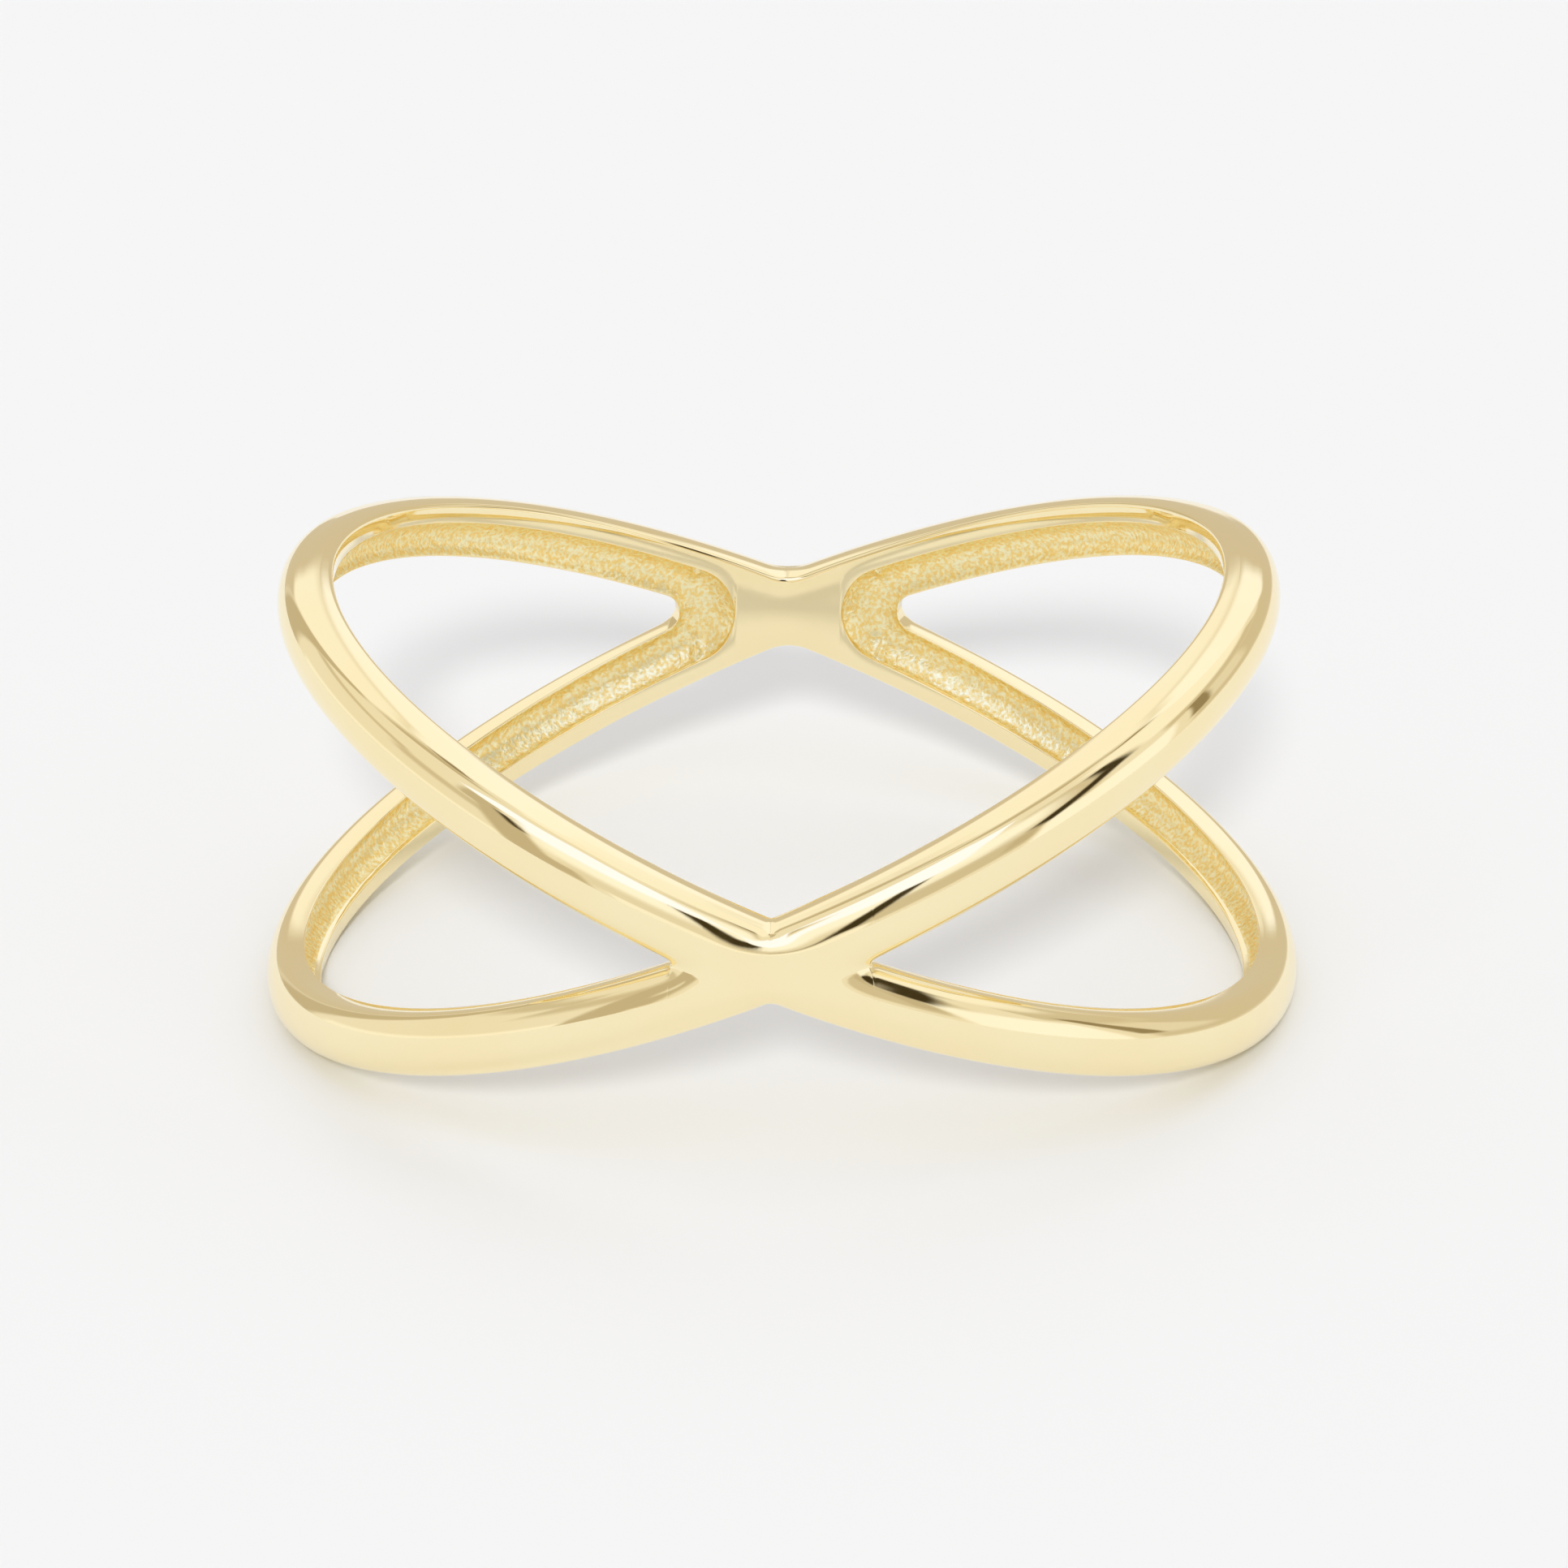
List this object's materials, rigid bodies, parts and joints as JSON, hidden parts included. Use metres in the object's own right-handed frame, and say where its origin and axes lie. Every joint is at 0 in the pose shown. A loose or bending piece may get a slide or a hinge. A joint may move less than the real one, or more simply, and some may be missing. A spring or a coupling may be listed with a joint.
{
  "type": "crossover ring",
  "caption": "Polished gold finger ring of two domed hoops that cross at the front and the back, open at the sides and scooped out inside.",
  "frame": {"origin": "middle of the box at the lowest edges, where the ring lies on its side", "axes": "+Z along the finger hole, -Y towards the front crossing, +X towards the right window"},
  "size_m": [0.0198, 0.0194, 0.0087],
  "materials": {
    "gold": "14 karat yellow gold, high polish outside and on the rims, left as cast inside the scoops"
  },
  "bodies": {
    "root": {"crossover_band": "gold"}
  },
  "joints": []
}
